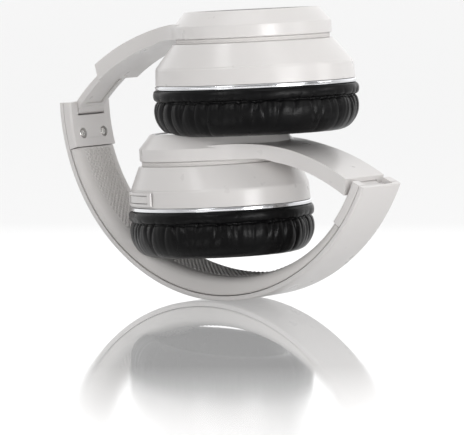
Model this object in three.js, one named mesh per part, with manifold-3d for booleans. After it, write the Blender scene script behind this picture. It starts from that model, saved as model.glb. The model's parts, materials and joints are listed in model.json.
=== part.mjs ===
// Folding over-ear headphones, stored folded: the headband stands on its crown, the right arm is
// folded flat into it and the left arm lies over the right one with its slider drawn out.
// Millimetres, +Z up, +X to the right as seen from the front (-Y). The origin is under the middle.
import * as THREE from 'three';
import { mergeVertices } from 'three/addons/utils/BufferGeometryUtils.js';
import Module from 'manifold-3d';

const wasm = await Module();
wasm.setup();

// ---- headband ----
const BAND_X = 3.15; // centre of the band's circle
const BAND_Z = 86;
const BAND_R = 86; // outer radius
const BAND_HALF_W = 13.7;
const SHELL_T = 2.2;
const END_LEFT = 183.3; // degrees, from +X towards +Z
const END_RIGHT = 337.6;
const BAND_MID = (END_LEFT + END_RIGHT) / 2;
const END_INNER_R = 79.5; // inner radius at the hinge ends
const PAD_DEPTH = 4.4; // how much thicker the pad is in the middle
const HINGE_SPAN = 14.3; // degrees of band covered by each hinge plate
const SLOT_LEFT = 4.3; // degrees of band cut by each knuckle slot
const SLOT_RIGHT = 5.6;
const SLOT_HALF_W = 8.9;
const SLOT_R = 84.6;
const SCREW_SPAN = 10; // degrees from the band's end to its screws
const SCREW_Y = 7;
const PIN_R = 1.0;
const PIN_HOLE_R = 1.12;
const KNUCKLE_R = 2.7;

// ---- arms: a curved bar that slides in a curved sleeve, in the cup's own (u, h) plane ----
const ARC_U = 22.74; // centre of the slider's arc
const ARC_H = -72.91;
const ARC_R = 96.5; // middle of the bar
const BAR_T = 3.2;
const BAR_HALF_W = 8.6;
const BAR_SPAN = 20.5; // degrees
const SLEEVE_OUT_R = 100.1;
const SLEEVE_IN_R = 93.6;
const MOUTH_OUT = 56.8; // degrees on the slider's arc
const MOUTH_IN = 55.3;
const PIVOT_EXTENDED = 42.0;
const PIVOT_RETRACTED = 53.8;
const RUN = 0.3; // gap between pieces that touch

// ---- cups ----
const RING_A = 43.9; // half length of the silver ring
const OVAL = 0.8307; // width over length of the ring
const OVAL_TOP = 8.4; // the housing is oval up to here and round from ROUND_FROM
const ROUND_FROM = 18.5;
const CAP_R = 33.65;
const CAP_TOP_R = 28.7;
const CAP_LOW = 20.6;
const CAP_CONE = 26.0;
const CAP_TOP = 32.0;
const SEGS = 42;
const SEGS_INNER = 18; // hidden round pieces

const LEFT = { name: 'left', side: -1, x: 15.8, z: 92.6, lean: 3.6, yaw: 16.8, pivot: PIVOT_EXTENDED };
const RIGHT = { name: 'right', side: 1, x: -2.9, z: 39.8, lean: 4.25, yaw: -16.8, pivot: PIVOT_RETRACTED };

const rad = THREE.MathUtils.degToRad;

// ---- materials ----
const paint = (color, roughness, metalness = 0) =>
  new THREE.MeshStandardMaterial({ color, roughness, metalness });
const WHITE = paint(0xdedcd8, 0.28);
const WHITE_SOFT = paint(0xd9d7d2, 0.6);
const SILVER = paint(0xc8c9cc, 0.15, 1);
const STEEL = paint(0x9a9ca0, 0.3, 1);
const DARK_CHROME = paint(0x4c4d50, 0.2, 1);
const BLACK = paint(0x1b1b1c, 0.55);
const LEATHER = paint(0x141414, 0.5);
const CLOTH = paint(0x202022, 0.95);
const GREEN = paint(0x1f5b34, 0.5);
const COPPER = paint(0x8a8f96, 0.4, 1);

// ---- solids and booleans ----
function solid(geometry) {
  const g = geometry.clone();
  g.deleteAttribute('normal');
  g.deleteAttribute('uv');
  const m = mergeVertices(g, 1e-4);
  const vertProperties = new Float32Array(m.attributes.position.array);
  const triVerts = new Uint32Array(m.index.array);
  return new wasm.Manifold(new wasm.Mesh({ numProp: 3, vertProperties, triVerts }));
}

function geometryOf(manifold) {
  const mesh = manifold.getMesh();
  const g = new THREE.BufferGeometry();
  g.setAttribute('position', new THREE.BufferAttribute(new Float32Array(mesh.vertProperties), 3));
  g.setIndex(new THREE.BufferAttribute(new Uint32Array(mesh.triVerts), 1));
  g.computeVertexNormals();
  return g;
}

const cut = (g, ...tools) => geometryOf(tools.reduce((m, t) => m.subtract(solid(t)), solid(g)));
const join = (g, ...more) => geometryOf(more.reduce((m, t) => m.add(solid(t)), solid(g)));
const meet = (g, t) => geometryOf(solid(g).intersect(solid(t)));

// ---- basic shapes ----
// a flat outline in the x-z plane, pushed along y from y0 to y1
function slab(points, y0, y1) {
  const shape = new THREE.Shape(points);
  const g = new THREE.ExtrudeGeometry(shape, { depth: y1 - y0, bevelEnabled: false });
  return g.rotateX(Math.PI / 2).translate(0, y1, 0);
}

// a flat outline in the x-y plane, pushed up from z0 to z1
function plate(shape, z0, z1) {
  const g = new THREE.ExtrudeGeometry(shape, { depth: z1 - z0, bevelEnabled: false, curveSegments: 14 });
  return g.translate(0, 0, z0);
}

// a ring segment's outline; inner may be a function of the angle in degrees
function sector(cx, cz, inner, outer, from, to, steps) {
  const innerAt = typeof inner === 'function' ? inner : () => inner;
  const points = [];
  for (let i = 0; i <= steps; i++) {
    const a = rad(from + ((to - from) * i) / steps);
    points.push(new THREE.Vector2(cx + outer * Math.cos(a), cz + outer * Math.sin(a)));
  }
  for (let i = steps; i >= 0; i--) {
    const deg = from + ((to - from) * i) / steps;
    const r = innerAt(deg);
    points.push(new THREE.Vector2(cx + r * Math.cos(rad(deg)), cz + r * Math.sin(rad(deg))));
  }
  return points;
}

function rodY(x, z, r, y0, y1, segs = 20) {
  return new THREE.CylinderGeometry(r, r, y1 - y0, segs).translate(x, (y0 + y1) / 2, z);
}

// a solid of revolution about z from [radius, height] pairs
function turned(pairs, segs = SEGS) {
  const profile = pairs.map(([r, h]) => new THREE.Vector2(r, h));
  if (pairs[0][0] > 0 || pairs[pairs.length - 1][0] > 0) profile.push(profile[0].clone());
  return new THREE.LatheGeometry(profile, segs).rotateX(Math.PI / 2);
}

function block(x, y, z, w, d, h) {
  return new THREE.BoxGeometry(w, d, h).translate(x, y, z);
}

// width over length of the cup at a height above its ring
function ovalAt(h) {
  const t = THREE.MathUtils.clamp((h - OVAL_TOP) / (ROUND_FROM - OVAL_TOP), 0, 1);
  return OVAL + (1 - OVAL) * t;
}

// squeezes a turned solid into the cup's oval and turns the oval's long axis
function ovalised(g, yaw) {
  const p = g.attributes.position;
  for (let i = 0; i < p.count; i++) p.setY(i, p.getY(i) * ovalAt(p.getZ(i)));
  return g.rotateZ(rad(yaw));
}

// ---- headband pieces, in the object's frame ----
const bandPoint = (deg, r) => [BAND_X + r * Math.cos(rad(deg)), BAND_Z + r * Math.sin(rad(deg))];

function bandArc(inner, outer, from, to, halfWidth, steps) {
  return slab(sector(BAND_X, BAND_Z, inner, outer, from, to, steps), -halfWidth, halfWidth);
}

// inner radius of the pad: thickest at the crown, thinning to the hinge ends
function padInner(deg) {
  const t = Math.abs(deg - BAND_MID) / ((END_RIGHT - END_LEFT) / 2 - HINGE_SPAN);
  return END_INNER_R - PAD_DEPTH * (0.5 + 0.5 * Math.cos(Math.PI * Math.min(t, 1)));
}

// the knuckle slot at one end; inward is +1 when angles grow from the end into the band
function slotTool(end, inward) {
  const depth = inward > 0 ? SLOT_LEFT : SLOT_RIGHT;
  const span = [end - inward * 2, end + inward * depth].sort((a, b) => a - b);
  return bandArc(END_INNER_R - 6, SLOT_R, span[0], span[1], SLOT_HALF_W, 4);
}

// radial rods at the two screw positions of one end, between two radii
function screwRods(end, inward, r, inner, outer, segs = 12) {
  const deg = end + inward * SCREW_SPAN;
  const [x, z] = bandPoint(deg, (inner + outer) / 2);
  return [-SCREW_Y, SCREW_Y].map((y) => new THREE.CylinderGeometry(r, r, outer - inner, segs)
    .rotateX(Math.PI / 2)
    .rotateY(rad(90 - deg))
    .translate(x, y, z));
}

function headbandShell() {
  const body = bandArc(BAND_R - SHELL_T, BAND_R, END_LEFT, END_RIGHT, BAND_HALF_W, 49);
  return cut(body, slotTool(END_LEFT, 1), slotTool(END_RIGHT, -1),
    ...screwRods(END_LEFT, 1, 1.2, 83, 85.2), ...screwRods(END_RIGHT, -1, 1.2, 83, 85.2));
}

function springStrip() {
  return bandArc(82.3, 83.3, END_LEFT + HINGE_SPAN + 2, END_RIGHT - HINGE_SPAN - 2, 6, 40);
}

function headbandPad() {
  const from = END_LEFT + HINGE_SPAN + 0.2;
  const to = END_RIGHT - HINGE_SPAN - 0.2;
  const body = bandArc(padInner, 83.5, from, to, BAND_HALF_W - 0.3, 40);
  return cut(body, bandArc(82, 84, from + 1, to - 1, 6.4, 40));
}

function hingePlate(end, inward, pivot) {
  const span = [end, end + inward * HINGE_SPAN].sort((a, b) => a - b);
  const body = bandArc(END_INNER_R, 83.5, span[0], span[1], BAND_HALF_W - 0.1, 8);
  return cut(body, slotTool(end, inward), rodY(pivot.x, pivot.z, PIN_HOLE_R, -12.8, 12.8, 12),
    ...screwRods(end, inward, 1.2, 79, 84), ...screwRods(end, inward, 2.35, 78, 80.9));
}

// one Phillips screw at one end, with a recessed cross in its head; row is 0 in front, 1 behind
function hingeScrew(end, inward, row) {
  const head = screwRods(end, inward, 2.0, 79.6, 80.6, 14)[row];
  const shank = screwRods(end, inward, 0.9, 80.5, 84.9, 8)[row];
  const deg = end + inward * SCREW_SPAN;
  const [x, z] = bandPoint(deg, 79.7);
  const y = row ? SCREW_Y : -SCREW_Y;
  const cross = [[2.2, 0.45], [0.45, 2.2]].map(([w, d]) =>
    new THREE.BoxGeometry(w, d, 0.9).rotateY(rad(90 - deg)).translate(x, y, z));
  return cut(join(head, shank), ...cross);
}

// ---- arm pieces, in the cup's frame: u points along the arm to its hinge, h away from the ear ----
const arcPoint = (deg, r) => [ARC_U + r * Math.cos(rad(deg)), ARC_H + r * Math.sin(rad(deg))];
const sided = (side, [u, h]) => new THREE.Vector2(side * u, h);

function arcBand(side, inner, outer, from, to, halfWidth, steps) {
  const points = sector(ARC_U, ARC_H, inner, outer, from, to, steps).map((p) => sided(side, [p.x, p.y]));
  return slab(points, -halfWidth, halfWidth);
}

function sliderBar(side, pivotDeg) {
  const bar = arcBand(side, ARC_R - BAR_T / 2, ARC_R + BAR_T / 2, pivotDeg, pivotDeg + BAR_SPAN, BAR_HALF_W, 14);
  const groove = arcBand(side, ARC_R - BAR_T, ARC_R - BAR_T / 2 + 0.6, pivotDeg + 2.4,
    pivotDeg + BAR_SPAN - 1.2, 5.6, 14);
  const [u, h] = arcPoint(pivotDeg, ARC_R);
  const knuckle = rodY(side * u, h, KNUCKLE_R, -8.5, 8.5, 24);
  return cut(join(bar, knuckle), groove, rodY(side * u, h, PIN_HOLE_R, -9, 9));
}

// outline of the sleeve seen from the side, from its mouth to under the cap
function sleeveSide(side) {
  const points = [];
  for (let i = 0; i <= 14; i++) points.push(arcPoint(MOUTH_OUT + ((95 - MOUTH_OUT) * i) / 14, SLEEVE_OUT_R));
  points.push([14, CAP_LOW], [31, CAP_LOW], [35, 20.45], [38.5, 19.8]);
  for (let i = 0; i <= 8; i++) points.push(arcPoint(78 + ((MOUTH_IN - 78) * i) / 8, SLEEVE_IN_R));
  return points.map((p) => sided(side, p));
}

// outline of the sleeve seen from above: parallel sides that sweep out to the round cap
function sleevePlan(side) {
  const edge = [[84, 13.5], [58, 13.5], [48, 13.9], [40, 15.3], [33, 17.9], [27, 21.4], [20.7, 26.45], [14, 29.5]];
  const all = [...edge, ...edge.slice().reverse().map(([u, y]) => [u, -y])];
  return new THREE.Shape(all.map(([u, y]) => new THREE.Vector2(side * u, y)));
}

function armShell(side) {
  const sleeve = meet(slab(sleeveSide(side), -34, 34), plate(sleevePlan(side), -20, 40));
  const cap = turned([[0, CAP_LOW], [CAP_R, CAP_LOW], [CAP_R, CAP_CONE], [CAP_TOP_R, CAP_TOP],
    [27.9, CAP_TOP], [27.9, 29.6], [0, 29.6]]);
  const hollow = turned([[0, 20], [32, 20], [32, 25.6], [27.8, 28.2], [0, 28.2]]);
  const channel = arcBand(side, ARC_R - BAR_T / 2 - RUN, ARC_R + BAR_T / 2 + RUN, 50, 75, BAR_HALF_W + RUN, 16);
  return cut(join(cap, sleeve), hollow, channel);
}

function armInnerCover() {
  return turned([[3.5, 21.6], [31.6, 21.6], [31.6, 23.0], [3.5, 23.0]]);
}

function capPlate() {
  return turned([[0, 29.9], [26.4, 29.9], [26.4, 31.1], [25.9, 31.5], [0, 31.5]]);
}

function capTrimRing() {
  return turned([[26.75, 29.9], [27.55, 29.9], [27.55, 31.7], [26.75, 31.7]]);
}

function neckGasket() {
  return turned([[29.6, 18.9], [32.7, 18.9], [32.9, 19.6], [32.7, 20.3], [29.6, 20.3]]);
}

// ---- swivel: post on the arm, gimbal ring between, bracket on the cup ----
const SWIVEL_H = 13;

function rodX(h, r, x0, x1, segs = 10) {
  return new THREE.CylinderGeometry(r, r, x1 - x0, segs).rotateZ(Math.PI / 2).translate((x0 + x1) / 2, 0, h);
}

function swivelPost() {
  const post = turned([[0, 11], [3, 11], [3, 23.3], [9, 23.3], [9, 25.3], [0, 25.3]], SEGS_INNER);
  return cut(post, rodX(SWIVEL_H, 1.15, -4, 4));
}

function gimbalRing() {
  const ring = turned([[5, 11.2], [7.4, 11.2], [7.4, 14.8], [5, 14.8]], SEGS_INNER);
  return join(ring, rodX(SWIVEL_H, 0.85, -6, 6), rodY(0, SWIVEL_H, 1.1, 6.2, 10.2, 10),
    rodY(0, SWIVEL_H, 1.1, -10.2, -6.2, 10));
}

function swivelBracket() {
  const ring = turned([[8.2, 10.6], [11.4, 10.6], [11.4, 16.6], [8.2, 16.6]], SEGS_INNER);
  return cut(ring, rodY(0, SWIVEL_H, 1.4, -13, 13, 10));
}

// ---- cup pieces, in the cup's frame, above and below the silver ring ----
function cupShell(side, yaw) {
  const shell = ovalised(turned([[9.5, 17.2], [32.5, 17.0], [41.0, 8.0], [41.3, 1.2], [43.5, 1.2],
    [43.1, OVAL_TOP], [34.2, ROUND_FROM], [33, 18.7], [9.5, 18.7]]), yaw);
  return side < 0 ? shell : cut(shell, controlPocket(yaw), socketOpening(yaw));
}

function trimRing(yaw) {
  return ovalised(turned([[41.7, -0.9], [RING_A - 0.3, -0.9], [RING_A, -0.4], [RING_A, 0.4],
    [RING_A - 0.3, 0.9], [41.7, 0.9]]), yaw);
}

function baffle(yaw) {
  const shape = new THREE.Shape().absellipse(0, 0, 41.2, 41.2 * OVAL, 0, 2 * Math.PI, false, 0);
  shape.holes.push(new THREE.Path().absarc(0, 0, 20, 0, 2 * Math.PI, true));
  return plate(shape, -0.9, 0.9).rotateZ(rad(yaw));
}

function driverFrame() {
  return turned([[17.6, -0.6], [19.5, -0.6], [19.5, 1.2], [22, 1.2], [22, 2.4], [19.5, 2.4], [19.5, 6.2],
    [8, 7.6], [8, 6.4], [17.6, 5.2]], SEGS_INNER);
}

function driverMagnet() {
  return turned([[0, 4.2], [7.5, 4.2], [7.5, 9.6], [0, 9.6]], SEGS_INNER);
}

function driverDiaphragm() {
  return turned([[0, 2.4], [7, 1.9], [12, 0.9], [17.2, 0.6], [17.2, 1.0], [12, 1.4], [7, 2.4], [0, 2.9]], SEGS_INNER);
}

function cushionCarrier(yaw) {
  return ovalised(turned([[33.5, -2.6], [42.9, -2.6], [42.9, -1.2], [33.5, -1.2]]), yaw);
}

function earCloth(yaw) {
  return ovalised(turned([[0, -2.2], [33, -2.2], [33, -1.4], [0, -1.4]]), yaw);
}

function cushion(yaw) {
  return ovalised(turned([[29, -2.9], [27.4, -7], [27.2, -12], [28.6, -16.6], [31.6, -19.6], [35.5, -20.6],
    [39.5, -19.4], [42.6, -16], [44.1, -11.3], [43.6, -6], [43.6, -2.9]]), yaw);
}

// brings a shape from the object's frame, or another cup's, into a cup's own frame
const intoCup = (g, cup) => g.translate(-cup.x, 0, -cup.z).rotateY(rad(cup.lean));
const outOfCup = (g, cup) => g.rotateY(-rad(cup.lean)).translate(cup.x, 0, cup.z);

// the soft foam rests on the band's pad: it gives way to the pad, with a gap all round
function rightCushion() {
  const band = bandArc((deg) => padInner(deg) - 0.4, 90, 200, 300, BAND_HALF_W + 0.4, 30);
  return cut(cushion(RIGHT.yaw), intoCup(band, RIGHT));
}

// the upper cushion's foam gives way to the cap that it lies on
function leftCushion() {
  const cap = turned([[0, 24], [CAP_R + 0.4, 24], [CAP_R + 0.4, CAP_CONE + 0.2],
    [CAP_TOP_R + 0.3, CAP_TOP + 0.4], [0, CAP_TOP + 0.4]]);
  return cut(cushion(LEFT.yaw), intoCup(outOfCup(cap, RIGHT), LEFT));
}

// ---- control and socket on the right cup ----
const CONTROL_AZ = 237; // degrees round the cup
const SOCKET_AZ = 90;

// a block that covers part of the cup's wall, across, high and deep
function wallBlock(azimuth, across, h0, h1, yaw) {
  return block(40, 0, (h0 + h1) / 2, 24, across, h1 - h0).rotateZ(rad(azimuth + yaw));
}

function controlPocket(yaw) {
  const skin = ovalised(turned([[42.2, 3.1], [46, 3.1], [46, 6.7], [42.2, 6.7]]), yaw);
  return meet(skin, wallBlock(CONTROL_AZ - yaw, 18.8, 2, 8, yaw));
}

function controlBezel(yaw) {
  const skin = ovalised(turned([[43.9, 2.0], [44.7, 2.0], [44.7, 7.8], [43.9, 7.8]]), yaw);
  const body = meet(skin, wallBlock(CONTROL_AZ - yaw, 23, 0, 10, yaw));
  return cut(body, wallBlock(CONTROL_AZ - yaw, 18.8, 3.1, 6.7, yaw));
}

function volumeRocker(yaw) {
  const skin = ovalised(turned([[42.9, 3.4], [44.5, 3.4], [44.5, 6.4], [42.9, 6.4]]), yaw);
  return meet(skin, wallBlock(CONTROL_AZ - yaw, 18.0, 2, 8, yaw));
}

function socketOpening(yaw) {
  return block(0, 35, 4.9, 9.6, 10, 3.8).rotateZ(rad(SOCKET_AZ - 90 + yaw));
}

function chargingSocket(yaw) {
  const shell = block(0, 32.2, 4.9, 8.9, 6.4, 3.2);
  return cut(shell, block(0, 33.4, 4.9, 8.1, 6.4, 2.4)).rotateZ(rad(SOCKET_AZ - 90 + yaw));
}

// ---- assembly ----
function piece(name, geometry, material) {
  const mesh = new THREE.Mesh(geometry, material);
  mesh.name = name;
  return mesh;
}

// a group in a cup's frame, leaning to -X
function cupFrame(cup) {
  const g = new THREE.Group();
  g.position.set(cup.x, 0, cup.z);
  g.rotation.y = -rad(cup.lean);
  return g;
}

function pivotOf(cup) {
  const [u, h] = arcPoint(cup.pivot, ARC_R);
  const p = new THREE.Vector3(cup.side * u, 0, h).applyAxisAngle(new THREE.Vector3(0, 1, 0), -rad(cup.lean));
  return { x: p.x + cup.x, z: p.z + cup.z };
}

function addHinge(root, cup, end, inward) {
  const pivot = pivotOf(cup);
  root.add(piece(`${cup.name}_hinge_plate`, hingePlate(end, inward, pivot), WHITE));
  root.add(piece(`${cup.name}_hinge_screw_front`, hingeScrew(end, inward, 0), STEEL));
  root.add(piece(`${cup.name}_hinge_screw_back`, hingeScrew(end, inward, 1), STEEL));
  root.add(piece(`${cup.name}_hinge_pin`, rodY(pivot.x, pivot.z, PIN_R, -12.5, 12.5, 12), STEEL));
}

function addCup(root, cup) {
  const g = cupFrame(cup);
  const add = (name, geometry, material) => g.add(piece(`${cup.name}_${name}`, geometry, material));
  add('slider_bar', sliderBar(cup.side, cup.pivot), WHITE);
  add('arm_shell', armShell(cup.side), WHITE);
  add('arm_inner_cover', armInnerCover(), WHITE);
  add('cap_plate', capPlate(), WHITE);
  add('cap_trim_ring', capTrimRing(), DARK_CHROME);
  add('neck_gasket', neckGasket(), WHITE_SOFT);
  add('swivel_post', swivelPost(), STEEL);
  add('gimbal_ring', gimbalRing(), STEEL);
  add('swivel_bracket', swivelBracket(), BLACK);
  add('cup_shell', cupShell(cup.side, cup.yaw), WHITE);
  add('trim_ring', trimRing(cup.yaw), SILVER);
  add('baffle', baffle(cup.yaw), BLACK);
  add('driver_frame', driverFrame(), BLACK);
  add('driver_magnet', driverMagnet(), COPPER);
  add('driver_diaphragm', driverDiaphragm(), CLOTH);
  add('cushion_carrier', cushionCarrier(cup.yaw), BLACK);
  add('ear_cloth', earCloth(cup.yaw), CLOTH);
  add('ear_cushion', cup.side < 0 ? leftCushion() : rightCushion(), LEATHER);
  root.add(g);
  return add;
}

const headphones = new THREE.Group();
headphones.name = 'over_ear_headphones';
headphones.add(piece('headband_shell', headbandShell(), WHITE));
headphones.add(piece('headband_spring_strip', springStrip(), STEEL));
headphones.add(piece('headband_pad', headbandPad(), WHITE_SOFT));
addHinge(headphones, LEFT, END_LEFT, 1);
addHinge(headphones, RIGHT, END_RIGHT, -1);
const addLeft = addCup(headphones, LEFT);
addLeft('battery', block(22, 0, 12.6, 15, 25, 4.6), COPPER);
const addRight = addCup(headphones, RIGHT);
addRight('circuit_board', block(23, 0, 11.8, 20, 22, 1.4), GREEN);
addRight('control_bezel', controlBezel(RIGHT.yaw), WHITE);
addRight('volume_rocker', volumeRocker(RIGHT.yaw), WHITE);
addRight('charging_socket', chargingSocket(RIGHT.yaw), STEEL);

export default headphones;
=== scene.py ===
# Looks for the folding over-ear headphones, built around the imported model. Shapes are made in
# millimetres, band pieces in the object's frame and cup pieces in each cup's own frame, and are
# brought to metres when they are placed.
import json
import math
import random

import bmesh
import bpy
import numpy as np
from mathutils import Matrix, Vector


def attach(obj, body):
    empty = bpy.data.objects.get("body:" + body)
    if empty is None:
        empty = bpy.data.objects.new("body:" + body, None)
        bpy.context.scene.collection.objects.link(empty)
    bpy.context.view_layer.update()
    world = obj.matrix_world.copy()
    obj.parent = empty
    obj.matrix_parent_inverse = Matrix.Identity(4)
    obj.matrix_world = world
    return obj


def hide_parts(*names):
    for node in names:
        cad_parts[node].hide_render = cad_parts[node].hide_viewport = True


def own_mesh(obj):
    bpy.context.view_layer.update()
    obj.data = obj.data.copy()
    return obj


MM = 0.001

# ---- headband ----
BAND_X, BAND_Z, BAND_R = 3.15, 86.0, 86.0
BAND_HALF_W = 13.7
SHELL_INNER_R = 83.8
PAD_OUTER_R = 83.5
END_LEFT, END_RIGHT = 183.3, 337.6  # degrees from +X towards +Z
BAND_MID = (END_LEFT + END_RIGHT) / 2
END_INNER_R = 79.5
PAD_DEPTH = 4.4
HINGE_SPAN = 14.3
SLOT_LEFT, SLOT_RIGHT, SLOT_HALF_W, SLOT_R = 4.3, 5.6, 8.9, 84.6
SCREW_SPAN, SCREW_Y = 10.0, 7.0
SCREW_SEAT_R, SINK_FLOOR_R, SINK_R = 80.75, 80.9, 2.35
PAD_EDGE_R, PAD_STEPS, PAD_ACROSS = 3.6, 560, 92
DOT_PITCH, DOT_HEIGHT, DOT_HALF_W = 2.3, 0.5, 9.0
DOT_ROW_R = 77  # radius at which the dots are evenly spaced

# ---- arms, in the cup's (u, h) plane ----
ARC_U, ARC_H, ARC_R = 22.74, -72.91, 96.5
BAR_T, BAR_HALF_W, BAR_SPAN = 3.2, 8.6, 20.5
KNUCKLE_R, PIN_HOLE_R = 2.7, 1.12
SLEEVE_OUT_R, SLEEVE_IN_R = 100.1, 93.6
MOUTH_OUT, MOUTH_IN = 56.8, 55.3
PLAN_EDGE = [(84, 13.5), (58, 13.5), (48, 13.9), (40, 15.3), (33, 17.9), (27, 21.4), (20.7, 26.45),
             (14, 29.5)]

# ---- cups ----
RING_A, OVAL = 43.9, 0.8307
OVAL_TOP, ROUND_FROM = 8.4, 18.5
CAP_R, CAP_TOP_R, CAP_LOW, CAP_CONE, CAP_TOP = 33.65, 28.7, 20.6, 26.0, 32.0
TURN_STEPS, WALL_STEPS, RING_STEPS = 160, 200, 220
CONTROL_AZ, CONTROL_W = 237, 18.8
SEAM_H = -5.85  # the welt's seam on the outside of the cushion
PLEATS = 50
CUPS = {
    "left": {"side": -1, "x": 15.8, "z": 92.6, "lean": 3.6, "yaw": 16.8, "pivot": 42.0},
    "right": {"side": 1, "x": -2.9, "z": 39.8, "lean": 4.25, "yaw": -16.8, "pivot": 53.8},
}

# ---- view ----
VIEW_AZ, VIEW_EL, VIEW_DIST = 38.0, 6.07, 1.505
VIEW_AT = Vector((0.0033, 0, 0.0347))
LENS = 271.6
FLOOR_HALF = 6  # metres
FRONT = (math.sin(math.radians(VIEW_AZ)), -math.cos(math.radians(VIEW_AZ)), 0)  # the front of the set

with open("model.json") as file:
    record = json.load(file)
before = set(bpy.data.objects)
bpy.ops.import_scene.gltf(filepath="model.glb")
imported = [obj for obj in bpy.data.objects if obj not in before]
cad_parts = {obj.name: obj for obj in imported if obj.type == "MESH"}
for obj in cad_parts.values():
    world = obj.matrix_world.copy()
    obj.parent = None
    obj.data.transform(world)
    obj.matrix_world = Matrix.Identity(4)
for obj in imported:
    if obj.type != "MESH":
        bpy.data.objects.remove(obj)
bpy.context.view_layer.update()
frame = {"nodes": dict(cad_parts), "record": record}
SLOT_OF = {part["node"]: part["material_slot"] for part in frame["record"]["subparts"]}
BODY_OF = {node: body for body, nodes in frame["record"]["behaviour"]["bodies"].items() for node in nodes}


# ---- materials ----
def blank(name, color, roughness, metallic=0.0):
    """A new material and its shader, with one colour, roughness and metallic value."""
    m = bpy.data.materials.new(name)
    m.use_nodes = True
    shader = m.node_tree.nodes["Principled BSDF"]
    shader.inputs["Base Color"].default_value = (*color, 1)
    shader.inputs["Roughness"].default_value = roughness
    shader.inputs["Metallic"].default_value = metallic
    return m, shader


def noise(m, scale, detail=3.0, stretch=(1, 1, 1)):
    """Noise in the object's own coordinates; scale is in features per metre."""
    nodes, links = m.node_tree.nodes, m.node_tree.links
    coords = nodes.new("ShaderNodeTexCoord")
    mapping = nodes.new("ShaderNodeMapping")
    mapping.inputs["Scale"].default_value = stretch
    texture = nodes.new("ShaderNodeTexNoise")
    texture.inputs["Scale"].default_value = scale
    texture.inputs["Detail"].default_value = detail
    links.new(coords.outputs["Object"], mapping.inputs["Vector"])
    links.new(mapping.outputs["Vector"], texture.inputs["Vector"])
    return texture.outputs["Fac"]


def cells(m, scale, feature="F1"):
    """Voronoi cells in the object's own coordinates."""
    nodes, links = m.node_tree.nodes, m.node_tree.links
    coords = nodes.new("ShaderNodeTexCoord")
    texture = nodes.new("ShaderNodeTexVoronoi")
    texture.feature = feature
    texture.inputs["Scale"].default_value = scale
    links.new(coords.outputs["Object"], texture.inputs["Vector"])
    return texture.outputs["Distance"]


def spread(m, fac, low, high):
    """A number that goes from low to high as the factor goes from 0.3 to 0.7."""
    node = m.node_tree.nodes.new("ShaderNodeMapRange")
    for key, value in (("From Min", 0.3), ("From Max", 0.7), ("To Min", low), ("To Max", high)):
        node.inputs[key].default_value = value
    m.node_tree.links.new(fac, node.inputs["Value"])
    return node.outputs["Result"]


def tint(m, fac, one, two):
    """A colour between two, by the factor."""
    node = m.node_tree.nodes.new("ShaderNodeMix")
    node.data_type = "RGBA"
    node.inputs["A"].default_value = (*one, 1)
    node.inputs["B"].default_value = (*two, 1)
    m.node_tree.links.new(fac, node.inputs["Factor"])
    return node.outputs["Result"]


def roughen(m, shader, fac, low, high):
    """Roughness between two values, by the factor."""
    m.node_tree.links.new(spread(m, fac, low, high), shader.inputs["Roughness"])


def colour(m, shader, fac, one, two):
    """Base colour between two, by the factor."""
    m.node_tree.links.new(tint(m, fac, one, two), shader.inputs["Base Color"])


def bumped(m, shader, height, strength, depth, under=None):
    """Adds a bump; depth is in metres, and under is another bump to build on."""
    node = m.node_tree.nodes.new("ShaderNodeBump")
    node.inputs["Strength"].default_value = strength
    node.inputs["Distance"].default_value = depth
    m.node_tree.links.new(height, node.inputs["Height"])
    if under is not None:
        m.node_tree.links.new(under, node.inputs["Normal"])
    m.node_tree.links.new(node.outputs["Normal"], shader.inputs["Normal"])
    return node.outputs["Normal"]


def white_gloss_plastic():
    m, shader = blank("white_gloss_plastic", (0.64, 0.62, 0.61), 0.3)
    colour(m, shader, noise(m, 30), (0.655, 0.634, 0.622), (0.625, 0.606, 0.595))
    roughen(m, shader, noise(m, 140, 5), 0.27, 0.36)
    bumped(m, shader, noise(m, 2600, 2), 0.12, 0.00008)
    shader.inputs["Coat Weight"].default_value = 0.25
    shader.inputs["Coat Roughness"].default_value = 0.18
    return m


def white_soft_plastic():
    m, shader = blank("white_soft_plastic", (0.62, 0.60, 0.585), 0.55)
    colour(m, shader, noise(m, 60), (0.64, 0.62, 0.605), (0.60, 0.58, 0.565))
    roughen(m, shader, noise(m, 300, 5), 0.5, 0.62)
    bumped(m, shader, noise(m, 3200, 3), 0.2, 0.0001)
    return m


def black_leatherette():
    m, shader = blank("black_leatherette", (0.005, 0.005, 0.005), 0.38)
    colour(m, shader, noise(m, 90, 5), (0.0015, 0.0015, 0.0018), (0.004, 0.0038, 0.004))
    roughen(m, shader, noise(m, 220, 6), 0.26, 0.38)
    grain = bumped(m, shader, cells(m, 1500, "DISTANCE_TO_EDGE"), 0.35, 0.00012)
    bumped(m, shader, noise(m, 900, 4), 0.25, 0.0002, grain)
    shader.inputs["Specular IOR Level"].default_value = 0.13
    return m


def black_cloth():
    m, shader = blank("black_cloth", (0.02, 0.02, 0.021), 0.9)
    colour(m, shader, cells(m, 1300), (0.008, 0.008, 0.008), (0.035, 0.035, 0.037))
    bumped(m, shader, cells(m, 1300), 0.8, 0.0003)
    shader.inputs["Sheen Weight"].default_value = 0.3
    return m


def black_plastic():
    m, shader = blank("black_plastic", (0.02, 0.02, 0.021), 0.55)
    roughen(m, shader, noise(m, 400, 5), 0.48, 0.62)
    bumped(m, shader, noise(m, 2400, 3), 0.25, 0.0001)
    return m


def metal(name, color, low, high, stretch=(1, 1, 1)):
    """A metal with roughness from low to high; stretch draws its marks out along an axis."""
    m, shader = blank(name, color, low, 1.0)
    dark = tuple(c * 0.85 for c in color)
    colour(m, shader, noise(m, 120, 4, stretch), color, dark)
    roughen(m, shader, noise(m, 900, 4, stretch), low, high)
    bumped(m, shader, noise(m, 2200, 3, stretch), 0.08, 0.00005)
    return m


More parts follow.
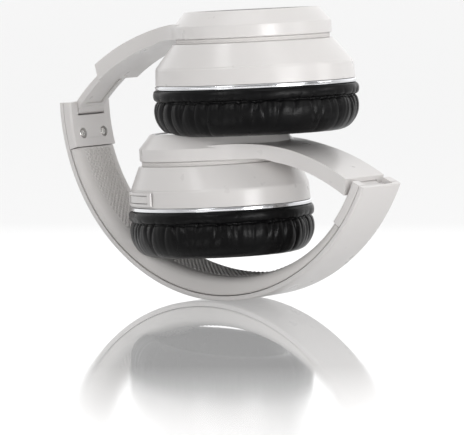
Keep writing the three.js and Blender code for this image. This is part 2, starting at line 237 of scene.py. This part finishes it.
def circuit_board():
    m, shader = blank("circuit_board", (0.02, 0.16, 0.06), 0.35)
    colour(m, shader, cells(m, 420, "DISTANCE_TO_EDGE"), (0.03, 0.24, 0.09), (0.01, 0.12, 0.04))
    bumped(m, shader, cells(m, 420, "DISTANCE_TO_EDGE"), 0.4, 0.0002)
    return m


def battery_wrap():
    m, shader = blank("battery_wrap", (0.45, 0.47, 0.5), 0.35, 0.8)
    roughen(m, shader, noise(m, 300, 5), 0.25, 0.5)
    bumped(m, shader, noise(m, 160, 5), 0.5, 0.0006)
    return m


MATERIALS = {
    "white_gloss_plastic": white_gloss_plastic(),
    "white_soft_plastic": white_soft_plastic(),
    "silver_trim": metal("silver_trim", (0.86, 0.87, 0.89), 0.1, 0.17),
    "dark_chrome": metal("dark_chrome", (0.16, 0.16, 0.17), 0.15, 0.25),
    "steel": metal("steel", (0.72, 0.71, 0.69), 0.18, 0.3, (1, 6, 1)),
    "black_plastic": black_plastic(),
    "black_leatherette": black_leatherette(),
    "black_cloth": black_cloth(),
    "circuit_board": circuit_board(),
    "battery_wrap": battery_wrap(),
}


# ---- meshes ----
def mesh_object(name, verts, faces):
    """A closed mesh in millimetres, with its faces turned outwards."""
    data = bpy.data.meshes.new(name)
    data.from_pydata([tuple(v) for v in verts], [], faces)
    bm = bmesh.new()
    bm.from_mesh(data)
    bmesh.ops.recalc_face_normals(bm, faces=bm.faces)
    bm.to_mesh(data)
    bm.free()
    obj = bpy.data.objects.new(name, data)
    bpy.context.scene.collection.objects.link(obj)
    return obj


def loft(name, loops):
    """A closed skin through loops of points with equal counts, with a flat cap at both ends."""
    n = len(loops[0])
    verts = [p for loop in loops for p in loop]
    faces = []
    for i in range(len(loops) - 1):
        for j in range(n):
            k = (j + 1) % n
            faces.append((i * n + j, i * n + k, (i + 1) * n + k, (i + 1) * n + j))
    faces.append(tuple(range(n)))
    faces.append(tuple(range((len(loops) - 1) * n, len(loops) * n)))
    return mesh_object(name, verts, faces)


def turned(name, profile, steps=TURN_STEPS, squeeze=None):
    """A solid of revolution about z from (radius, height) pairs; squeeze gives y over x by height."""
    squeeze = squeeze or (lambda h: 1.0)
    verts, rows = [], []
    for r, h in profile:
        if r < 1e-6:
            rows.append([len(verts)] * steps)
            verts.append((0, 0, h))
            continue
        rows.append(list(range(len(verts), len(verts) + steps)))
        for i in range(steps):
            a = 2 * math.pi * i / steps
            verts.append((r * math.cos(a), r * math.sin(a) * squeeze(h), h))
    faces = []
    pairs = list(zip(rows, rows[1:]))
    if profile[0][0] > 1e-6 and profile[-1][0] > 1e-6:
        pairs.append((rows[-1], rows[0]))
    for one, two in pairs:
        for i in range(steps):
            j = (i + 1) % steps
            face = list(dict.fromkeys((one[i], one[j], two[j], two[i])))
            if len(face) > 2:
                faces.append(face)
    return mesh_object(name, verts, faces)


def rounded(points, radii, steps=5):
    """A closed outline whose corners are rounded by the given radii."""
    out, n = [], len(points)
    for i, p in enumerate(points):
        p = Vector(p)
        r = radii[i]
        if r <= 0:
            out.append(tuple(p))
            continue
        a, b = Vector(points[i - 1]) - p, Vector(points[(i + 1) % n]) - p
        half = a.angle(b) / 2
        reach = min(r / math.tan(half), a.length * 0.49, b.length * 0.49)
        one, two = p + a.normalized() * reach, p + b.normalized() * reach
        for k in range(steps + 1):
            t = k / steps
            out.append(tuple(one * (1 - t) ** 2 + p * 2 * t * (1 - t) + two * t * t))
    return out


def smooth_path(points, steps=6):
    """A Catmull-Rom curve through the points."""
    pts = [Vector(p) for p in points]
    pts = [pts[0] * 2 - pts[1], *pts, pts[-1] * 2 - pts[-2]]
    out = []
    for a, b, c, d in zip(pts, pts[1:], pts[2:], pts[3:]):
        for k in range(steps):
            t = k / steps
            out.append(0.5 * (2 * b + (c - a) * t + (2 * a - 5 * b + 4 * c - d) * t * t
                              + (3 * b - a - 3 * c + d) * t ** 3))
    return [tuple(p) for p in [*out, pts[-2]]]


def box(name, centre, size, turn=0.0):
    """A block turned about z by degrees."""
    obj = loft(name, [[(x, y, z) for x, y in ((-1, -1), (1, -1), (1, 1), (-1, 1))] for z in (-1, 1)])
    fit = Matrix.Diagonal((size[0] / 2, size[1] / 2, size[2] / 2, 1))
    obj.data.transform(Matrix.Rotation(math.radians(turn), 4, "Z") @ Matrix.Translation(centre) @ fit)
    return obj


def rod(name, start, end, r, steps=32):
    """A plain cylinder between two points."""
    start, end = Vector(start), Vector(end)
    turn = (end - start).to_track_quat("Z", "Y").to_matrix()
    ring = [turn @ Vector((r * math.cos(2 * math.pi * i / steps), r * math.sin(2 * math.pi * i / steps), 0))
            for i in range(steps)]
    return loft(name, [[start + p for p in ring], [end + p for p in ring]])


def apply_modifiers(obj):
    """Turns the modified shape into the object's own mesh."""
    deps = bpy.context.evaluated_depsgraph_get()
    data = bpy.data.meshes.new_from_object(obj.evaluated_get(deps))
    obj.modifiers.clear()
    obj.data = data
    return obj


def combine(obj, tool, how):
    """Boolean of two closed meshes; the tool is used up."""
    m = obj.modifiers.new("combine", "BOOLEAN")
    m.operation, m.solver, m.object = how, "EXACT", tool
    apply_modifiers(obj)
    bpy.data.objects.remove(tool)


def cut(obj, *tools):
    """Takes closed meshes out of another; the tools are used up."""
    for tool in tools:
        combine(obj, tool, "DIFFERENCE")


def soften(obj, width, angle=35, steps=3):
    """Rounds the edges that are sharper than the angle."""
    bm = bmesh.new()
    bm.from_mesh(obj.data)
    bmesh.ops.remove_doubles(bm, verts=bm.verts, dist=0.002)
    bmesh.ops.dissolve_degenerate(bm, edges=bm.edges, dist=0.002)
    bm.to_mesh(obj.data)
    bm.free()
    m = obj.modifiers.new("soften", "BEVEL")
    m.limit_method, m.angle_limit = "ANGLE", math.radians(angle)
    m.width, m.segments, m.profile = width, steps, 0.5
    m.use_clamp_overlap = True
    m.miter_outer = "MITER_ARC"
    return apply_modifiers(obj)


def shade(obj, angle=38):
    """Smooth shading that keeps flat faces flat."""
    obj.data.shade_smooth()
    obj.data.set_sharp_from_angle(angle=math.radians(angle))
    m = obj.modifiers.new("normals", "WEIGHTED_NORMAL")
    m.keep_sharp = True
    return apply_modifiers(obj)


def place(obj, node, matrix=Matrix()):
    """Brings a finished piece to its place and lets it stand for a CAD node."""
    obj.name = obj.data.name = node + "_look"
    obj.data.transform(matrix @ Matrix.Scale(MM, 4))
    obj.data.materials.clear()
    obj.data.materials.append(MATERIALS[SLOT_OF[node]])
    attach(obj, BODY_OF[node])
    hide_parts(node)


# ---- headband pieces ----
def on_band(deg, r, y=0.0):
    """A point at an angle and radius on the band's circle."""
    a = math.radians(deg)
    return Vector((BAND_X + r * math.cos(a), y, BAND_Z + r * math.sin(a)))


def band_sweep(name, section, start, end, steps):
    """Sweeps a section of (radius, y) points, given by the angle, along the band."""
    loops = []
    for i in range(steps + 1):
        deg = start + (end - start) * i / steps
        loops.append([on_band(deg, r, y) for r, y in section(deg)])
    return loft(name, loops)


def rounded_section(inner, outer, half, inner_r, outer_r, steps=6):
    """A flat bar's section as (radius, y) points, with rounded inner and outer corners."""
    corners = [(inner, -half), (outer, -half), (outer, half), (inner, half)]
    return rounded(corners, [inner_r, outer_r, outer_r, inner_r], steps)


def slot_tool(end, inward):
    """What the knuckle slot takes out of one end; inward is 1 when angles grow into the band."""
    depth = SLOT_LEFT if inward > 0 else SLOT_RIGHT
    span = sorted((end - inward * 2, end + inward * depth))
    section = [(70, -SLOT_HALF_W), (SLOT_R, -SLOT_HALF_W), (SLOT_R, SLOT_HALF_W), (70, SLOT_HALF_W)]
    return band_sweep("slot", lambda deg: section, *span, 8)


def pad_inner(deg):
    """Inner radius of the pad: thickest at the crown."""
    t = abs(deg - BAND_MID) / ((END_RIGHT - END_LEFT) / 2 - HINGE_SPAN)
    return END_INNER_R - PAD_DEPTH * (0.5 + 0.5 * math.cos(math.pi * min(t, 1)))


def headband_shell():
    """The glossy outer strip, open at both ends for the knuckles."""
    section = rounded_section(SHELL_INNER_R, BAND_R, BAND_HALF_W, 0.3, 1.3)
    obj = band_sweep("shell", lambda deg: section, END_LEFT, END_RIGHT, 150)
    cut(obj, slot_tool(END_LEFT, 1), slot_tool(END_RIGHT, -1))
    place(shade(soften(obj, 0.45)), "headband_shell")


def dot_height(along, y):
    """Height of the raised dots on the pad's inner face, in staggered rows."""
    half_row = DOT_PITCH * 0.5
    row = np.round(y / half_row)
    shifted = along + np.where(row % 2 == 0, 0.0, DOT_PITCH / 2)
    du = shifted - np.round(shifted / DOT_PITCH) * DOT_PITCH
    dv = y - row * half_row
    d = np.sqrt(du ** 2 + dv ** 2) / (DOT_PITCH * 0.36)
    dome = np.clip(1 - d ** 2, 0, 1) ** 0.7
    edge = np.clip((DOT_HALF_W - np.abs(y)) / 0.6, 0, 1)
    return DOT_HEIGHT * dome * edge


def headband_pad():
    """The soft pad: rounded inner edges, with raised dots over the middle of its inner face."""
    start, end = END_LEFT + HINGE_SPAN + 0.25, END_RIGHT - HINGE_SPAN - 0.25
    half = BAND_HALF_W - 0.25
    flat = half - PAD_EDGE_R
    y = np.linspace(-flat, flat, PAD_ACROSS)
    rise = [(1 - math.cos(a), math.sin(a)) for a in np.linspace(0.12, math.pi / 2, 9)]
    back = [(82.6, half), (PAD_OUTER_R - 0.2, half - 0.15), (PAD_OUTER_R, half - 0.5)]
    loops = []
    for i in range(PAD_STEPS + 1):
        deg = start + (end - start) * i / PAD_STEPS
        close = min(1.0, deg - start, end - deg)
        inner = pad_inner(deg) + 0.35 * (1 - close) ** 2
        dots = dot_height(math.radians(deg) * DOT_ROW_R, y) * close
        face = [(inner - h, v) for h, v in zip(dots, y)]
        up = [(inner + PAD_EDGE_R * c, flat + PAD_EDGE_R * s) for c, s in rise] + back
        loop = face + up + [(r, -v) for r, v in reversed(up)]
        loops.append([on_band(deg, r, v) for r, v in loop])
    pad = loft("pad", loops)
    pad.data.shade_smooth()
    pad.data.set_sharp_from_angle(angle=math.radians(60))
    place(pad, "headband_pad")


def hinge_plate(name, end, inward):
    """The bare end of the band, which takes the knuckle and two screws."""
    span = sorted((end, end + inward * HINGE_SPAN))
    section = rounded_section(END_INNER_R, 83.6, BAND_HALF_W - 0.1, 1.4, 0.2)
    obj = band_sweep("plate", lambda deg: section, *span, 22)
    cut(obj, slot_tool(end, inward))
    deg = end + inward * SCREW_SPAN
    for y in (-SCREW_Y, SCREW_Y):
        cut(obj, rod("sink", on_band(deg, 78, y), on_band(deg, SINK_FLOOR_R, y), SINK_R, 40))
    place(shade(soften(obj, 0.3)), name + "_hinge_plate")


def hinge_screw(name, end, inward, row, y):
    """A domed screw head in its sunk hole, with a cross recess."""
    profile = [(0, 1.0), (0.9, 0.95), (1.4, 0.8), (1.75, 0.5), (1.85, 0.25), (1.85, 0.0), (0.9, -0.05),
               (0.9, -4.0), (0, -4.0)]
    obj = turned("screw", profile, 48)
    for size in ((2.2, 0.55, 1.4), (0.55, 2.2, 1.4)):
        cut(obj, box("cross", (0, 0, 1.15), size))
    shade(soften(obj, 0.06, 40, 2))
    deg = end + inward * SCREW_SPAN
    inwards = on_band(deg, 79, 0) - on_band(deg, 80, 0)
    turn = inwards.to_track_quat("Z", "Y").to_matrix().to_4x4()
    obj.data.transform(Matrix.Translation(on_band(deg, SCREW_SEAT_R, y)) @ turn)
    place(obj, f"{name}_hinge_screw_{row}")


# ---- arm pieces ----
def arc_point(deg, r):
    """A (u, h) point at an angle and radius about the centre of the slider's arc."""
    a = math.radians(deg)
    return ARC_U + r * math.cos(a), ARC_H + r * math.sin(a)


def arc_sweep(name, side, section, start, end, steps):
    """Sweeps a section of (radius, y) points along the slider's arc."""
    loops = []
    for i in range(steps + 1):
        deg = start + (end - start) * i / steps
        points = [(*arc_point(deg, r), y) for r, y in section]
        loops.append([(side * u, y, h) for u, h, y in points])
    return loft(name, loops)


def plain_section(inner, outer, half):
    """A section with square corners, as (radius, y) points."""
    return [(inner, -half), (outer, -half), (outer, half), (inner, half)]


def slider_bar(cup, name, matrix):
    """The curved bar with its knuckle, and a shallow groove along its inner face."""
    side, pivot = cup["side"], cup["pivot"]
    inner, outer = ARC_R - BAR_T / 2, ARC_R + BAR_T / 2
    section = rounded_section(inner, outer, BAR_HALF_W, 0.5, 0.9, 4)
    obj = arc_sweep("bar", side, section, pivot, pivot + BAR_SPAN, 36)
    u, h = arc_point(pivot, ARC_R)
    combine(obj, rod("knuckle", (side * u, -8.5, h), (side * u, 8.5, h), KNUCKLE_R, 40), "UNION")
    groove = arc_sweep("groove", side, plain_section(ARC_R - BAR_T, inner + 0.6, 5.6), pivot + 2.4,
                       pivot + BAR_SPAN - 1.2, 30)
    cut(obj, groove, rod("hole", (side * u, -9, h), (side * u, 9, h), PIN_HOLE_R, 24))
    place(shade(soften(obj, 0.22, 38, 2)), name + "_slider_bar", matrix)


def sleeve(side):
    """The curved sleeve that the bar slides in, with rounded edges, before it joins the cap."""
    out = [arc_point(MOUTH_OUT + (95 - MOUTH_OUT) * i / 36, SLEEVE_OUT_R) for i in range(37)]
    under = [arc_point(78 + (MOUTH_IN - 78) * i / 24, SLEEVE_IN_R) for i in range(25)]
    outline = [*out, (14, CAP_LOW), (31, CAP_LOW), (35, 20.45), (38.5, 19.8), *under]
    body = loft("sleeve", [[(side * u, y, h) for u, h in outline] for y in (-34, 34)])
    edge = smooth_path(PLAN_EDGE, 5)
    plan = [*edge, *[(u, -y) for u, y in reversed(edge)]]
    combine(body, loft("plan", [[(side * u, y, z) for u, y in plan] for z in (-20, 40)]), "INTERSECT")
    return soften(body, 1.5, 50, 4)


def arm_shell(cup, name, matrix):
    """The round cap and its sleeve in one, hollow inside and open where the bar slides."""
    side = cup["side"]
    outline = [(0, CAP_LOW), (CAP_R, CAP_LOW), (CAP_R, CAP_CONE), (CAP_TOP_R, CAP_TOP), (27.8, CAP_TOP),
               (27.8, 29.6), (0, 29.6)]
    obj = turned("cap", rounded(outline, [0, 0.7, 0.8, 0.5, 0.3, 0.1, 0], 4))
    combine(obj, sleeve(side), "UNION")
    hollow = turned("hollow", [(0, 20), (32, 20), (32, 25.6), (27.8, 28.2), (0, 28.2)])
    half = BAR_T / 2 + 0.3
    section = plain_section(ARC_R - half, ARC_R + half, BAR_HALF_W + 0.3)
    channel = arc_sweep("channel", side, section, 50, 75, 40)
    cut(obj, hollow, channel)
    place(shade(soften(obj, 0.3, 42, 2)), name + "_arm_shell", matrix)


def arm_small_parts(name, matrix):
    """The cap's inner cover, outer plate and dark ring, and the gasket at the cup's neck."""
    cover = [(3.5, 21.6), (31.7, 21.6), (31.7, 23.0), (3.5, 23.0)]
    plate = rounded([(0, 29.9), (26.4, 29.9), (26.4, 31.5), (0, 31.5)], [0, 0.1, 0.6, 0], 5)
    dish = [(0, 31.25), (24.2, 31.25), (24.9, 31.5)]
    ring = rounded([(26.75, 29.9), (27.5, 29.9), (27.5, 31.75), (26.75, 31.75)], [0.1, 0.1, 0.25, 0.25], 4)
    gasket = rounded([(29.6, 18.75), (32.95, 18.75), (32.6, 19.3), (32.9, 19.7), (32.75, 20.5),
                      (29.6, 20.5)], [0.1, 0.15, 0.4, 0.4, 0.1, 0.1], 3)
    place(shade(turned("cover", rounded(cover, [0.2] * 4, 3))), name + "_arm_inner_cover", matrix)
    place(shade(turned("plate", plate[:-1] + dish[::-1])), name + "_cap_plate", matrix)
    place(shade(turned("ring", ring)), name + "_cap_trim_ring", matrix)
    place(shade(turned("gasket", gasket), 70), name + "_neck_gasket", matrix)


# ---- cup pieces ----
def oval_at(h):
    """Width over length of the cup at a height above its ring."""
    t = min(max((h - OVAL_TOP) / (ROUND_FROM - OVAL_TOP), 0), 1)
    return OVAL + (1 - OVAL) * t


def yawed(obj, yaw):
    """Turns the oval's long axis by degrees."""
    obj.data.transform(Matrix.Rotation(math.radians(yaw), 4, "Z"))
    return obj


def wall_block(azimuth, across, h0, h1):
    """A block over part of the cup's wall; azimuth is in the cup's frame."""
    return box("wall", (40, 0, (h0 + h1) / 2), (24, across, h1 - h0), azimuth)


def wall_skin(yaw, inner, outer, low, high):
    """A thin band that follows the cup's oval wall."""
    outline = [(inner, low), (outer, low), (outer, high), (inner, high)]
    return yawed(turned("skin", outline, WALL_STEPS, squeeze=oval_at), yaw)


def cup_shell(cup, name, matrix):
    """The oval housing; the right one has a pocket for the control and a charging opening."""
    outline = [(9.5, 17.2), (32.5, 17.0), (41.0, 8.0), (41.3, 1.2), (43.5, 1.2), (43.1, OVAL_TOP),
               (34.2, ROUND_FROM), (33, 18.7), (9.5, 18.7)]
    fillets = [0.1, 0.3, 0.5, 0.1, 0.25, 2.2, 0.7, 0.2, 0.1]
    obj = yawed(turned("shell", rounded(outline, fillets, 6), WALL_STEPS, squeeze=oval_at), cup["yaw"])
    if cup["side"] > 0:
        pocket = wall_skin(cup["yaw"], 42.2, 46, 3.1, 6.7)
        combine(pocket, wall_block(CONTROL_AZ, CONTROL_W, 2, 8), "INTERSECT")
        socket = box("socket", (0, 35, 4.9), (9.6, 10, 3.8), cup["yaw"])
        cut(obj, pocket, socket)
        soften(obj, 0.12, 60, 2)
    place(shade(obj), name + "_cup_shell", matrix)


def trim_ring(cup, name, matrix):
    """The bright ring between the housing and the cushion."""
    outline = [(41.7, -0.9), (RING_A, -0.65), (RING_A, 1.05), (41.7, 1.05)]
    obj = turned("trim", rounded(outline, [0.1, 0.6, 0.6, 0.1], 6), RING_STEPS, squeeze=oval_at)
    place(shade(yawed(obj, cup["yaw"])), name + "_trim_ring", matrix)


def ear_cloth(cup, name, matrix):
    """Thin foam-backed cloth over the driver, slightly crowned."""
    rows = [(33 * math.sin(t), -2.2 - 0.35 * math.cos(t) ** 2) for t in np.linspace(0.05, math.pi / 2, 24)]
    obj = turned("cloth", [(0, -2.55), *rows, (33, -1.5), (0, -1.5)], squeeze=oval_at)
    place(shade(yawed(obj, cup["yaw"])), name + "_ear_cloth", matrix)


def control(cup, matrix):
    """The raised frame and the rocker inside it."""
    yaw = cup["yaw"]
    bezel = wall_skin(yaw, 43.9, 44.75, 2.0, 7.8)
    combine(bezel, wall_block(CONTROL_AZ, 23, 0, 10), "INTERSECT")
    cut(bezel, wall_block(CONTROL_AZ, CONTROL_W, 3.1, 6.7))
    place(shade(soften(bezel, 0.3, 50, 3)), "right_control_bezel", matrix)
    rocker = wall_skin(yaw, 42.9, 44.5, 3.4, 6.4)
    combine(rocker, wall_block(CONTROL_AZ, 18.0, 2, 8), "INTERSECT")
    place(shade(soften(rocker, 0.4, 50, 3)), "right_volume_rocker", matrix)


# ---- ear cushions ----
CUSHION_TOP = [(29.2, -2.9), (42.9, -2.9), (43.1, -1.1)]
FLANGE = [(43.1, -1.1), (43.9, -0.9), (44.65, -1.8), (44.9, -3.3), (44.5, -4.9), (43.4, SEAM_H)]
DONUT = [(43.4, SEAM_H), (44.25, -7.0), (44.75, -9.6), (44.35, -12.9), (42.7, -16.3), (39.7, -19.3),
         (35.5, -20.6), (31.6, -19.7), (28.7, -16.7), (27.3, -12.0), (27.4, -7.0), (29.2, -2.9)]


def wobble(rng, angle, cycles, terms):
    """A smooth random wave round the cushion, about -1 to 1."""
    total = np.zeros_like(angle)
    for _ in range(terms):
        total += np.sin(angle * rng.randint(*cycles) + rng.uniform(0, 2 * math.pi))
    return total / math.sqrt(terms / 2)


def pleat_depth(rng, angle, below, radius):
    """How far the gathered skin dips in, by angle and by the distance below the seam."""
    depth = np.zeros_like(angle)
    at = 0.0
    while at < 2 * math.pi:
        at += 2 * math.pi / PLEATS * rng.uniform(0.45, 1.6)
        reach, deep = rng.uniform(4.5, 11.0), rng.uniform(0.5, 1.35)
        lean, wide = rng.uniform(-0.25, 0.25), rng.uniform(0.7, 1.3)
        d = (angle - at + math.pi) % (2 * math.pi) - math.pi
        across = np.abs(d * radius + lean * below)
        fade = np.exp(-(below / reach) ** 2)
        crease = 0.55 * np.exp(-across / (0.45 * wide))
        valley = 0.45 * np.exp(-(across / (1.5 * wide)) ** 2)
        depth += deep * fade * (crease + valley)
    return np.minimum(depth, 1.6)


def outward_normals(profile):
    """Unit normals of the cushion's section, pointing away from the middle of its foam."""
    tangent = np.roll(profile, -1, axis=0) - np.roll(profile, 1, axis=0)
    normal = np.stack([-tangent[:, 1], tangent[:, 0]], axis=1)
    normal /= np.linalg.norm(normal, axis=1, keepdims=True)
    outward = np.where((normal * (profile - [35.5, -11.5])).sum(1) < 0, -1.0, 1.0)
    return normal * outward[:, None]


def cushion_points(seed, around):
    """Points of the cushion's skin in the cup's frame before it is made oval: rows by angle."""
    rng = random.Random(seed)
    profile = np.array(CUSHION_TOP[:-1] + smooth_path(FLANGE, 4)[:-1] + smooth_path(DONUT, 8)[:-1])
    normal = outward_normals(profile)
    angle = np.linspace(0, 2 * math.pi, around, endpoint=False)
    a, r = np.meshgrid(angle, profile[:, 0], indexing="ij")
    h = np.repeat(profile[None, :, 1], around, axis=0)
    outer = r > 35.5
    below = np.clip(SEAM_H - h, 0, None)
    dent = pleat_depth(rng, a, below, 40.0) * (outer & (h < SEAM_H + 0.01))
    inside = pleat_depth(rng, a, np.clip(-3.0 - h, 0, None), 28.0) * (~outer & (h < -3.2)) * 0.6
    above = np.clip(h - SEAM_H, 0, None)
    tuck = pleat_depth(rng, a, above * 3.0, 40.0) * (outer & (h > SEAM_H) & (h < -1.4)) * 0.35
    calm = np.exp(-(below / 9) ** 2)
    slack = wobble(rng, a, (3, 14), 6) * 0.12 * calm
    slack = slack + wobble(rng, a, (40, 110), 10) * 0.05 * calm * (below > 0)
    move = slack * (h < -1.6) - dent - inside - tuck
    return a, r + move * normal[None, :, 0], h + move * normal[None, :, 1]


def give_way_to_band(co):
    """Pushes points in the object's frame out of the headband's pad, with a soft shoulder."""
    dx, dz = co[:, 0] - BAND_X, co[:, 2] - BAND_Z
    r = np.hypot(dx, dz)
    deg = np.degrees(np.arctan2(dz, dx)) % 360
    limit = np.array([pad_inner(d) for d in deg]) - 0.62
    edge = np.clip((np.abs(co[:, 1]) - BAND_HALF_W + 1.5) / 4.0, 0, 1)
    limit = limit + 7 * edge ** 2
    gap = limit - r
    soft = 0.5 * (gap - np.sqrt(gap ** 2 + 0.5 ** 2))
    new_r = r + np.minimum(soft, 0) * (gap < 3)
    co[:, 0] = BAND_X + dx * new_r / r
    co[:, 2] = BAND_Z + dz * new_r / r
    return co


def give_way_to_cap(co, to_cap, from_cap):
    """Pushes points up out of the lower cap, along that cap's axis."""
    local = co @ to_cap[:3, :3].T + to_cap[:3, 3]
    r = np.hypot(local[:, 0], local[:, 1])
    top = np.where(r < CAP_TOP_R, CAP_TOP, CAP_TOP - (r - CAP_TOP_R) * 1.21) + 0.45
    gap = local[:, 2] - top
    lift = 0.5 * (np.sqrt(gap ** 2 + 0.5 ** 2) - gap)
    local[:, 2] += lift * (r < CAP_R + 0.5) * (gap < 3)
    return local @ from_cap[:3, :3].T + from_cap[:3, 3]


def oval_points(a, r, h, yaw):
    """Makes the round cushion oval, turns its long axis and lists its points."""
    x, y = r * np.cos(a), r * np.sin(a) * OVAL
    across = x * math.cos(yaw) - y * math.sin(yaw)
    along = x * math.sin(yaw) + y * math.cos(yaw)
    return np.stack([across, along, h], axis=2).reshape(-1, 3)


def ring_faces(around, count):
    """Faces of a closed ring made of sections with the same number of points."""
    faces = []
    for i in range(around):
        k = (i + 1) % around
        for j in range(count):
            n = (j + 1) % count
            faces.append((i * count + j, i * count + n, k * count + n, k * count + j))
    return faces


def ear_cushion(cup, name, matrix, seed):
    """The gathered leatherette cushion, which gives way to what it lies on."""
    around = 760
    a, r, h = cushion_points(seed, around)
    co = oval_points(a, r, h, math.radians(cup["yaw"]))
    m = np.array(matrix)
    turn, shift = m[:3, :3], m[:3, 3] / MM
    co = co @ turn.T + shift
    if name == "right":
        co = give_way_to_band(co)
    else:
        lower = np.array(cup_matrix(CUPS["right"]))
        lower[:3, 3] /= MM
        co = give_way_to_cap(co, np.linalg.inv(lower), lower)
    obj = mesh_object("cushion", co, ring_faces(around, a.shape[1]))
    obj.data.shade_smooth()
    place(obj, name + "_ear_cushion")
    return obj


# ---- assembly ----
def cup_matrix(cup):
    """From the cup's own frame to the object's, in metres."""
    move = Matrix.Translation((cup["x"] * MM, 0, cup["z"] * MM))
    return move @ Matrix.Rotation(-math.radians(cup["lean"]), 4, "Y")


def build_band():
    headband_shell()
    headband_pad()
    for name, end, inward in (("left", END_LEFT, 1), ("right", END_RIGHT, -1)):
        hinge_plate(name, end, inward)
        hinge_screw(name, end, inward, "front", -SCREW_Y)
        hinge_screw(name, end, inward, "back", SCREW_Y)


def build_cup(name, seed):
    cup = CUPS[name]
    matrix = cup_matrix(cup)
    slider_bar(cup, name, matrix)
    arm_shell(cup, name, matrix)
    arm_small_parts(name, matrix)
    cup_shell(cup, name, matrix)
    trim_ring(cup, name, matrix)
    ear_cloth(cup, name, matrix)
    cushion = ear_cushion(cup, name, matrix, seed)
    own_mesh(cushion)
    if name == "right":
        control(cup, matrix)


def dress_hidden_nodes():
    """Gives every CAD node that still shows its own material."""
    for name, obj in frame["nodes"].items():
        obj.data.materials.clear()
        obj.data.materials.append(MATERIALS[SLOT_OF[name]])


def fade_by_front(material, start, end, low, high, output="Object"):
    """A number that goes from low to high between two distances towards the front."""
    nodes, links = material.node_tree.nodes, material.node_tree.links
    coords = nodes.new("ShaderNodeTexCoord")
    along = nodes.new("ShaderNodeVectorMath")
    along.operation = "DOT_PRODUCT"
    along.inputs[1].default_value = FRONT
    fade = nodes.new("ShaderNodeMapRange")
    for key, value in (("From Min", start), ("From Max", end), ("To Min", low), ("To Max", high)):
        fade.inputs[key].default_value = value
    links.new(coords.outputs[output], along.inputs[0])
    links.new(along.outputs["Value"], fade.inputs["Value"])
    return fade.outputs["Result"]


def floor():
    """A pale glossy light table, polished under the object and duller to the front and back."""
    s = FLOOR_HALF
    obj = loft("floor", [[(-s, -s, z), (s, -s, z), (s, s, z), (-s, s, z)] for z in (-0.02, -0.0002)])
    m, shader = blank("floor", (0.55, 0.55, 0.55), 0.1, 0.6)
    links = m.node_tree.links
    duller = m.node_tree.nodes.new("ShaderNodeMath")
    duller.operation = "MAXIMUM"
    links.new(fade_by_front(m, -0.3, -0.06, 0.4, 0.02), duller.inputs[0])
    links.new(fade_by_front(m, 0.15, 0.55, 0.02, 0.35), duller.inputs[1])
    links.new(duller.outputs["Value"], shader.inputs["Roughness"])
    shader.inputs["Emission Color"].default_value = (1, 1, 1, 1)
    links.new(fade_by_front(m, 0.2, 0.5, 0.2, 0.95), shader.inputs["Emission Strength"])
    obj.data.materials.append(m)


def area_light(name, at, look, size, watts):
    """A white soft box at one point, facing another."""
    data = bpy.data.lights.new(name, "AREA")
    data.shape, data.size, data.size_y = "RECTANGLE", *size
    data.energy = watts
    obj = bpy.data.objects.new(name, data)
    obj.location = at
    obj.rotation_euler = (Vector(look) - Vector(at)).to_track_quat("-Z", "Y").to_euler()
    bpy.context.scene.collection.objects.link(obj)


def studio():
    """A room that is white behind the object and dimmer in front, with five soft lights."""
    world = bpy.data.worlds.new("studio")
    world.use_nodes = True
    back = world.node_tree.nodes["Background"]
    back.inputs["Color"].default_value = (1, 1, 1, 1)
    level = fade_by_front(world, -0.7, 0.45, 1.3, 0.3, "Generated")
    world.node_tree.links.new(level, back.inputs["Strength"])
    bpy.context.scene.world = world
    bpy.context.scene.view_settings.view_transform = "Standard"
    area_light("key", (-0.1, -0.9, 0.5), (0, 0, 0.06), (0.25, 0.4), 1.7)
    area_light("fill", (0.75, -0.35, 0.5), (0, 0, 0.06), (0.5, 0.5), 1.2)
    area_light("side", (0.8, 0.25, 0.32), (-0.06, 0, 0.08), (0.3, 0.3), 1.1)
    area_light("front", (0.86, -0.45, 0.09), (0, 0, 0.05), (0.4, 0.16), 2.6)
    area_light("top", (-0.1, -0.1, 0.95), (0, 0, 0.06), (0.6, 0.6), 1.3)


def camera():
    """A long lens a little above level, from the front and right."""
    data = bpy.data.cameras.new("camera")
    data.lens, data.sensor_width = LENS, 36.0
    data.clip_start, data.clip_end = 0.05, 30
    obj = bpy.data.objects.new("camera", data)
    az, el = math.radians(VIEW_AZ), math.radians(VIEW_EL)
    away = Vector((math.sin(az) * math.cos(el), -math.cos(az) * math.cos(el), math.sin(el)))
    obj.location = VIEW_AT + away * VIEW_DIST
    obj.rotation_euler = (-away).to_track_quat("-Z", "Y").to_euler()
    bpy.context.scene.collection.objects.link(obj)
    bpy.context.scene.camera = obj


dress_hidden_nodes()
build_band()
build_cup("left", 11)
build_cup("right", 23)
floor()
studio()
camera()
